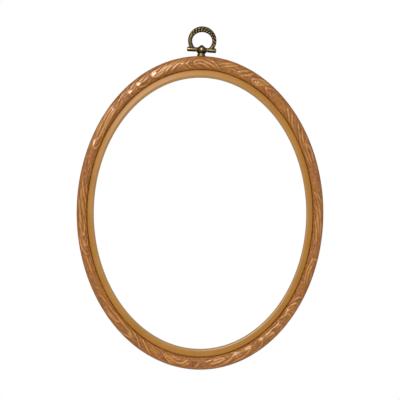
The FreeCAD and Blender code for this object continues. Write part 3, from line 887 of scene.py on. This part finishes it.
def combined(piece, bm, operation, crease=CREASE_ANGLE):
    """Joins a closed build mesh to the piece, or cuts it away, and frees it."""
    bmesh.ops.transform(bm, matrix=HANGER, verts=bm.verts[:])
    bmesh.ops.recalc_face_normals(bm, faces=bm.faces[:])
    tool_mesh = bpy.data.meshes.new("tool")
    bm.to_mesh(tool_mesh)
    bm.free()
    tool = bpy.data.objects.new("tool", tool_mesh)
    bpy.context.scene.collection.objects.link(tool)
    step = piece.modifiers.new("step", "BOOLEAN")
    step.operation = operation
    step.object = tool
    step.solver = "EXACT"
    shape = bpy.data.meshes.new_from_object(piece.evaluated_get(bpy.context.evaluated_depsgraph_get()))
    piece.modifiers.clear()
    piece.data = shape
    shape.shade_smooth()
    shape.set_sharp_from_angle(angle=math.radians(crease))
    bpy.data.objects.remove(tool)


def rod(axis, radius, low, high):
    """Plain round rod along an axis through the hinge."""
    return turned([(low, 0), (low, radius), (high, radius), (high, 0)], {}, axis, ROD_STEPS, closed=False)


def tenon(side, low, high, radius):
    """Short upright rod where the bow's arm stands on its barrel."""
    bm = rod((0, 0, 1), radius, low, high)
    bmesh.ops.translate(bm, verts=bm.verts[:], vec=(side * TENON_PLACE, 0, 0))
    return bm


def store_light_and_shade(piece, shaded_and_lit):
    """Stores on each vertex its painted shade and painted highlight, as the given function tells."""
    to_hinge = HANGER.inverted()
    pairs = [shaded_and_lit(to_hinge @ vert.co) for vert in piece.data.vertices]
    for name, values in zip(("hollow_and_shade", "rubbed_and_highlight"), zip(*pairs)):
        piece.data.attributes.new(name, "FLOAT", "POINT").data.foreach_set("value", values)
    # The count printed is of the vertices that carry painted shade and painted highlight.
    print(piece.name, "is worn on", len(pairs), "vertices")


# %% [markdown]
# ## Barrels and pin
# Two smooth sleeves sit on a pin, one each side of the post, and each has a fine groove near the post. Light
# from the front runs along them as a bright stripe, between dark ones above and below. Their colour has the
# same pattern painted in: a painted highlight along the middle, a little above it, and painted shade above
# and below.

# %% Barrels and pin
NECK_START = BARREL_START + 0.7 * MM
NECK_MIDDLE = BARREL_START + 0.85 * MM
NECK_END = BARREL_START + 1.0 * MM
NECK_SHARE = 0.9
BARREL_CREASE = 50
PRESS_ROOM = 0.01 * MM
HIGHLIGHT_RISE = 0.1
BARREL_SHADE = 0.8
BARREL_SHADE_RANGE = (0.4, 0.85)
BARREL_HIGHLIGHT = 0.45
BARREL_HIGHLIGHT_RANGE = (0.1, 0.5)


def barrel_painted_light(place):
    """Painted highlight along a barrel's front and back, a little above its middle, and painted shade above
    and below.
    """
    # Height from the stripe: painted highlight near it, painted shade away from it.
    height = abs(place.z / BARREL_RADIUS - HIGHLIGHT_RISE)
    hollow_and_shade = BARREL_SHADE * float(smooth_step(height, *BARREL_SHADE_RANGE))
    rubbed_and_highlight = BARREL_HIGHLIGHT - BARREL_HIGHLIGHT * float(smooth_step(height, *BARREL_HIGHLIGHT_RANGE))
    return hollow_and_shade, rubbed_and_highlight


for side, name in ((-1, "left_barrel"), (1, "right_barrel")):
    bm = turned([
        (side * BARREL_START, PIN_RADIUS), (side * BARREL_START, BARREL_RADIUS),
        (side * NECK_START, BARREL_RADIUS), (side * NECK_MIDDLE, NECK_SHARE * BARREL_RADIUS),
        (side * NECK_END, BARREL_RADIUS), (side * BARREL_END, BARREL_RADIUS),
        (side * BARREL_END, PIN_RADIUS),
    ], {1: 0.2 * MM, 2: 0.08 * MM, 4: 0.08 * MM, 5: 0.22 * MM}, (1, 0, 0))
    bmesh.ops.transform(bm, matrix=HANGER, verts=bm.verts[:])
    barrel = finished_piece(bm, "brass_" + name, BRASS, "hanging_ring_body", name,
                            BARREL_CREASE)
    combined(barrel, tenon(side, 0.0, BARREL_RADIUS + MM, TENON_RADIUS + PRESS_ROOM), "DIFFERENCE")
    store_light_and_shade(barrel, barrel_painted_light)

PIN_END = BARREL_END + PIN_STAND
PIN_ROUND = 0.14 * MM
pin_bm = turned([(-PIN_END, 0), (-PIN_END, PIN_RADIUS), (PIN_END, PIN_RADIUS), (PIN_END, 0)],
                {1: PIN_ROUND, 2: PIN_ROUND}, (1, 0, 0), ROD_STEPS, closed=False)
bmesh.ops.transform(pin_bm, matrix=HANGER, verts=pin_bm.verts[:])
finished_piece(pin_bm, "brass_hinge_pin", BRASS, "hanging_ring_body", "hinge_pin",
               BARREL_CREASE)

# %% [markdown]
# ## The post
# Its foot flares over a flat spot on the hoop, and a double cone stands across it, bored for the pin. The
# two shapes are joined with a Boolean, as the casting is one piece of metal, and the bore is cut last, so
# that it runs clean through both. From the front the post shows a bright spot on its boss and another at its
# waist, with a dark collar between them. These are painted into its colour: painted highlights on the two
# spots, and painted shade on the collar and on the top of the boss.

# %% Post
FOOT_RADIUS = 2.38 * MM
WAIST_RADIUS = 1.9 * MM
COLLAR_RADIUS = 2.6 * MM
BOSS_HALF = 3.15 * MM
BOSS_RADIUS = 2.7 * MM
BOSS_SHOULDER = 1.8 * MM
BOSS_NECK = 1.2 * MM
BOSS_END_RADIUS = 1.3 * MM
BORE_RADIUS = 0.6 * MM
BORE_REACH = 5 * MM
SCREW_HOLE = 1.01 * MM
SCREW_DEPTH = 2.2 * MM
POST_STEPS = 48
BOSS_HIGHLIGHT = (0.4 * MM, 0.9 * MM, 0.8 * MM)
WAIST_HIGHLIGHT = (-2.6 * MM, 1.1 * MM, 0.7 * MM)
COLLAR_SHADE_BAND = (-1.4 * MM, 0.6 * MM)
COLLAR_SHADE = 0.8
TOP_SHADE_RANGE = (1.4 * MM, 2.6 * MM)
TOP_SHADE = 0.7


def painted_highlight_spot(place, height, half_width, half_height):
    """Painted highlight spot at a height above the hinge line: 1 in its middle, and fading out."""
    return math.exp(-(place.x / half_width) ** 2 - ((place.z - height) / half_height) ** 2)


def post_painted_light(place):
    """Painted highlights at the middle of the boss and at its waist, and painted shade at its collar and
    top.
    """
    # Painted shade at the collar and on the top of the boss, painted highlights on the boss and the waist.
    collar_height, half_collar = COLLAR_SHADE_BAND
    collar_shade = math.exp(-((place.z - collar_height) / half_collar) ** 2)
    top = float(smooth_step(place.z, *TOP_SHADE_RANGE))
    hollow_and_shade = max(COLLAR_SHADE * collar_shade, TOP_SHADE * top)
    rubbed_and_highlight = max(painted_highlight_spot(place, *BOSS_HIGHLIGHT), painted_highlight_spot(place, *WAIST_HIGHLIGHT))
    return hollow_and_shade, rubbed_and_highlight


foot_bm = turned([
    (-SEAT_DROP, SCREW_HOLE), (-SEAT_DROP, FOOT_RADIUS), (-3.0 * MM, FOOT_RADIUS),
    (-2.4 * MM, WAIST_RADIUS), (-1.5 * MM, COLLAR_RADIUS), (-1.0 * MM, COLLAR_RADIUS),
    (-0.3 * MM, WAIST_RADIUS), (0, WAIST_RADIUS), (0, 0),
    (SCREW_DEPTH - SEAT_DROP, 0), (SCREW_DEPTH - SEAT_DROP, SCREW_HOLE),
], {1: 0.1 * MM, 2: 0.25 * MM, 3: 0.35 * MM, 4: 0.25 * MM, 5: 0.2 * MM}, (0, 0, 1), POST_STEPS)
bmesh.ops.transform(foot_bm, matrix=HANGER, verts=foot_bm.verts[:])
post = finished_piece(foot_bm, "brass_post", BRASS, "outer_hoop_body", "hanger_post")
boss_bm = turned([
    (-BOSS_HALF, 0), (-BOSS_HALF, BOSS_END_RADIUS), (-2.7 * MM, BOSS_END_RADIUS), (-2.5 * MM, BOSS_NECK),
    (-1.5 * MM, BOSS_SHOULDER), (-0.6 * MM, BOSS_RADIUS), (0.6 * MM, BOSS_RADIUS),
    (1.5 * MM, BOSS_SHOULDER), (2.5 * MM, BOSS_NECK), (2.7 * MM, BOSS_END_RADIUS),
    (BOSS_HALF, BOSS_END_RADIUS), (BOSS_HALF, 0),
], {1: 0.15 * MM, 4: 0.5 * MM, 5: 0.4 * MM, 6: 0.4 * MM, 7: 0.5 * MM, 10: 0.15 * MM}, (1, 0, 0), POST_STEPS,
    closed=False)
combined(post, boss_bm, "UNION")
combined(post, rod((1, 0, 0), BORE_RADIUS, -BORE_REACH, BORE_REACH), "DIFFERENCE")
store_light_and_shade(post, post_painted_light)

# %% [markdown]
# ## The screw's way through the hoop
# The foot presses a shallow flat spot into the soft hoop, the screw passes through a small hole, and its
# washer and head sit in a wider pocket that opens into the bore. All three are cut along the post's axis,
# with rods that reach well past the hoop's wall.

# %% Flat spot, screw hole and pocket
SPOT_RADIUS = 2.5 * MM
HOLE_RADIUS = 1.1 * MM
POCKET_RADIUS = 2.25 * MM
POCKET_TOP = -SEAT_DROP - 5.85 * MM

for radius, low, high in (
        (SPOT_RADIUS, -SEAT_DROP, -2 * MM),
        (HOLE_RADIUS, -13 * MM, -2 * MM),
        (POCKET_RADIUS, -14 * MM, POCKET_TOP)):
    combined(outer, rod((0, 0, 1), radius, low, high), "DIFFERENCE")
print("outer hoop after the cuts:", len(outer.data.polygons), "faces")

# %% [markdown]
# ## The bow's even ring
# The bow is a cast ring, open at the bottom where its two arms stand on the barrels. A small circle is laid
# at the end of one arm and spun most of the way round, which makes an even ring of plain sections.

# %% Even ring
BOW_MIDDLE = 6.85 * MM
BOW_END = math.radians(140)
BOW_SIDES = 36
BOW_STEPS = 260

bow_bm = bmesh.new()
bmesh.ops.create_circle(bow_bm, cap_ends=True, segments=BOW_SIDES, radius=MM)
bmesh.ops.rotate(bow_bm, verts=bow_bm.verts[:], cent=(0, 0, 0), matrix=Matrix.Rotation(math.pi / 2, 3, "Y"))
bmesh.ops.translate(bow_bm, verts=bow_bm.verts[:], vec=(0, 0, BOW_MIDDLE))
bmesh.ops.rotate(bow_bm, verts=bow_bm.verts[:], cent=(0, 0, 0), matrix=Matrix.Rotation(-BOW_END, 3, "Y"))
bmesh.ops.spin(bow_bm, geom=bow_bm.verts[:] + bow_bm.edges[:] + bow_bm.faces[:], cent=(0, 0, 0),
               axis=(0, 1, 0), angle=2 * BOW_END, steps=BOW_STEPS)
print("even ring:", len(bow_bm.verts), "vertices")

# %% [markdown]
# ## The bow's taper and leaves
# The bow is thick at its top and slender at its arms, so each section is scaled by its turn from the top.
# Two rows of small slanted leaves run over its front and two over its back, the second row half a leaf on.
# They stop short of the arms, sooner on the left. Each vertex is told how much of a leaf covers it. The
# metal between the leaves is sunk, and stored as hollow so that the finish keeps it dark, while the leaves
# are rubbed bright. The inner and outer rims are darkened too, and that is painted shade.

# %% Taper and leaves
BOW_CENTRE = 5.249 * MM
BOW_RADIUS = 8.05 * MM
BOW_TOP = (3.3 * MM, 2.7 * MM)
BOW_ARM = (2.4 * MM, 1.9 * MM)
BOW_TAPER = 1.3
LEAF_PITCH = math.radians(15.5)
LEAF_ROWS = (0.9, 2.2)
LEAF_SLANT = 0.1
LEAF_HALF_LENGTH = 0.34 * LEAF_PITCH
LEAF_HALF_WIDTH = 0.45
LEAF_SINK = 0.25 * MM
LEAF_RUBBED = 0.6
LEAVES_START = (-math.radians(80), -math.radians(50))
LEAVES_END = (-2.2, -1.8)
RIM_SHADE = 0.6
RIM_SHADE_RANGE = (0.2, 0.7)


def leaf_cover(turn, girth):
    """How much of a leaf covers a place on the bow, from 0 to 1."""
    cover = 0.0
    for row, place in enumerate(LEAF_ROWS):
        shift = 0.5 * row
        nearest = (round(turn / LEAF_PITCH - shift) + shift) * LEAF_PITCH
        for face in (-1, 1):
            skew = girth * face - place
            near_along = (turn - nearest + LEAF_SLANT * skew) / LEAF_HALF_LENGTH
            near_across = skew / LEAF_HALF_WIDTH
            cover = max(cover, math.exp(-(near_along ** 2 + near_across ** 2) ** 1.5))
    return cover


hollow_and_shade = bow_bm.verts.layers.float.new("hollow_and_shade")
rubbed_and_highlight = bow_bm.verts.layers.float.new("rubbed_and_highlight")
for vert in bow_bm.verts:
    turn = math.atan2(vert.co.x, vert.co.z)
    girth = math.atan2(-vert.co.y, math.hypot(vert.co.x, vert.co.z) - BOW_MIDDLE)
    taper = max(0, math.cos(turn)) ** BOW_TAPER
    width, thickness = [arm + (top - arm) * taper for top, arm in zip(BOW_TOP, BOW_ARM)]
    zone = float(smooth_step(turn, *LEAVES_START) * smooth_step(-turn, *LEAVES_END))
    cover = leaf_cover(turn, girth)
    # The inner and outer rims get painted shade.
    rim_shade = 1 - float(smooth_step(abs(math.sin(girth)), *RIM_SHADE_RANGE))
    vert[hollow_and_shade] = max(zone * (1 - cover), RIM_SHADE * rim_shade)
    vert[rubbed_and_highlight] = LEAF_RUBBED * zone * cover
    sink = LEAF_SINK * zone * (1 - cover) * math.sin(girth) ** 2
    middle = BOW_RADIUS - width / 2
    radius = middle + (width / 2 - sink) * math.cos(girth)
    vert.co = (radius * math.sin(turn), -(thickness / 2 - sink) * math.sin(girth),
               radius * math.cos(turn) + BOW_CENTRE)

# %% [markdown]
# ## The bow on its barrels
# The ends of the arms are cut hollow to the barrels' round, so that they stand on them closely, and a short
# tenon reaches from each arm into its barrel.

# %% Finish the bow
BOW_CREASE = 60
SADDLE_ROOM = 0.03 * MM
SADDLE_REACH = 10 * MM
TENON_START = PIN_RADIUS + 0.1 * MM
TENON_END = BARREL_RADIUS + 0.5 * MM

bmesh.ops.transform(bow_bm, matrix=HANGER, verts=bow_bm.verts[:])
bow = finished_piece(bow_bm, "brass_bow", BRASS, "hanging_ring_body", "hanger_bow",
                     BOW_CREASE)
saddle = rod((1, 0, 0), BARREL_RADIUS + SADDLE_ROOM, -SADDLE_REACH, SADDLE_REACH)
combined(bow, saddle, "DIFFERENCE", BOW_CREASE)
for side in (-1, 1):
    combined(bow, tenon(side, TENON_START, TENON_END, TENON_RADIUS), "UNION", BOW_CREASE)
print("bow with its tenons:", len(bow.data.polygons), "faces")

# %% [markdown]
# ## Floor and light of the room
# The object is shown on white. Its floor is pale paper and fades to plain white away from the object. The
# world is plain white to the camera alone: as light it is softer, and where the metal and the gloss mirror
# it, dimmer still, so that the gloss doesn't wash their colours out. The floor's sizes are in metres.

# %% Floor and world
FLOOR_GAP = 40 * MM
FLOOR_SIZE = 3.0
FLOOR_SIDES = 96
FLOOR_ROUGHNESS = 0.9
FADE_START = 0.1
FADE_END = 0.24
WORLD_LIGHT = 0.65
WORLD_MIRRORED = 0.5


def strength_by_ray(tree, others):
    """White to the camera, dimmer where a surface mirrors it, and the others' strength for all else."""
    rays = add_node(tree, "ShaderNodeLightPath").outputs
    mirrored = ranged(tree, rays["Is Glossy Ray"], 0.0, 1.0, others, WORLD_MIRRORED)
    return add_node(tree, "ShaderNodeMath", {0: mirrored, 1: rays["Is Camera Ray"]},
                    operation="MAXIMUM").outputs[0]


def make_floor():
    """White floor that fades to plain white away from the object."""
    finish, tree, shader = new_finish("white_paper_floor")
    shader.inputs["Base Color"].default_value = paint("f4f4f4")
    shader.inputs["Roughness"].default_value = FLOOR_ROUGHNESS
    place = add_node(tree, "ShaderNodeTexCoord").outputs["Object"]
    distance = add_node(tree, "ShaderNodeVectorMath", {0: place}, operation="LENGTH").outputs["Value"]
    fade = ranged(tree, distance, FADE_START, FADE_END)
    white = add_node(tree, "ShaderNodeEmission", {
        "Color": paint("ffffff"), "Strength": strength_by_ray(tree, WORLD_LIGHT)})
    both = add_node(tree, "ShaderNodeMixShader", {0: fade, 1: shader.outputs[0], 2: white.outputs[0]})
    tree.links.new(both.outputs[0], tree.nodes["Material Output"].inputs["Surface"])
    return finish


floor_bm = bmesh.new()
bmesh.ops.create_circle(floor_bm, cap_ends=True, segments=FLOOR_SIDES, radius=FLOOR_SIZE)
bmesh.ops.translate(floor_bm, verts=floor_bm.verts[:], vec=(0, 0, OUTER_LOW.z - FLOOR_GAP))
floor_mesh = bpy.data.meshes.new("floor")
floor_bm.to_mesh(floor_mesh)
floor_bm.free()
floor_mesh.materials.append(make_floor())
floor = bpy.data.objects.new("floor", floor_mesh)
bpy.context.scene.collection.objects.link(floor)

world = bpy.data.worlds.new("soft_white_room")
bpy.context.scene.world = world
world.use_nodes = True
background = world.node_tree.nodes["Background"]
background.inputs["Color"].default_value = paint("ffffff")
world.node_tree.links.new(strength_by_ray(world.node_tree, WORLD_LIGHT), background.inputs["Strength"])
print("floor", round(FLOOR_GAP / MM), "mm below the hoop, world at", WORLD_LIGHT, "as light")

# %% [markdown]
# ## Lamp and camera
# One large soft lamp stands in front, above and to the left, where the highlights on the object say it is,
# and its light is a little warm. The camera looks straight at the face from far enough away that the oval
# hardly changes shape. One pixel of the photograph is a known part of a millimetre on the face, and the
# lens follows from that and from the camera's distance. The photograph's centre lies some pixels above the
# oval's, because the hanger is in the picture too.

# %% Lamp and camera
PHOTO_SIDE = 400
PHOTO_SCALE = 0.564 * MM
PHOTO_CENTRE_ABOVE = 13.4
CAMERA_DISTANCE = 1.2
SENSOR_WIDTH = 36.0
LAMP_PLACE = Vector((-0.30, -1.2, 0.46))
LAMP_WIDTH = 0.46
LAMP_HEIGHT = 0.24
LAMP_POWER = 8.2
LAMP_COLOUR = (1.0, 0.95, 0.86)


def look_at(thing, place, target):
    """Puts a lamp or camera at a place and points it at the target."""
    thing.location = place
    thing.rotation_euler = (target - place).to_track_quat("-Z", "Y").to_euler()


lamp_data = bpy.data.lights.new("softbox", "AREA")
lamp_data.shape = "RECTANGLE"
lamp_data.size = LAMP_WIDTH
lamp_data.size_y = LAMP_HEIGHT
lamp_data.energy = LAMP_POWER
lamp_data.color = LAMP_COLOUR
lamp = bpy.data.objects.new("softbox", lamp_data)
bpy.context.scene.collection.objects.link(lamp)
look_at(lamp, LAMP_PLACE, Vector((0, 0, 0)))

camera_data = bpy.data.cameras.new("camera")
camera_data.sensor_width = SENSOR_WIDTH
camera_data.lens = camera_data.sensor_width * CAMERA_DISTANCE / (PHOTO_SIDE * PHOTO_SCALE)
camera = bpy.data.objects.new("camera", camera_data)
bpy.context.scene.collection.objects.link(camera)
aim = Vector((0, CROWN_DEPTH, PHOTO_CENTRE_ABOVE * PHOTO_SCALE))
look_at(camera, aim - Vector((0, CAMERA_DISTANCE, 0)), aim)
bpy.context.scene.camera = camera
bpy.context.scene.view_settings.view_transform = "Standard"
print("lens in mm:", round(camera_data.lens, 1))
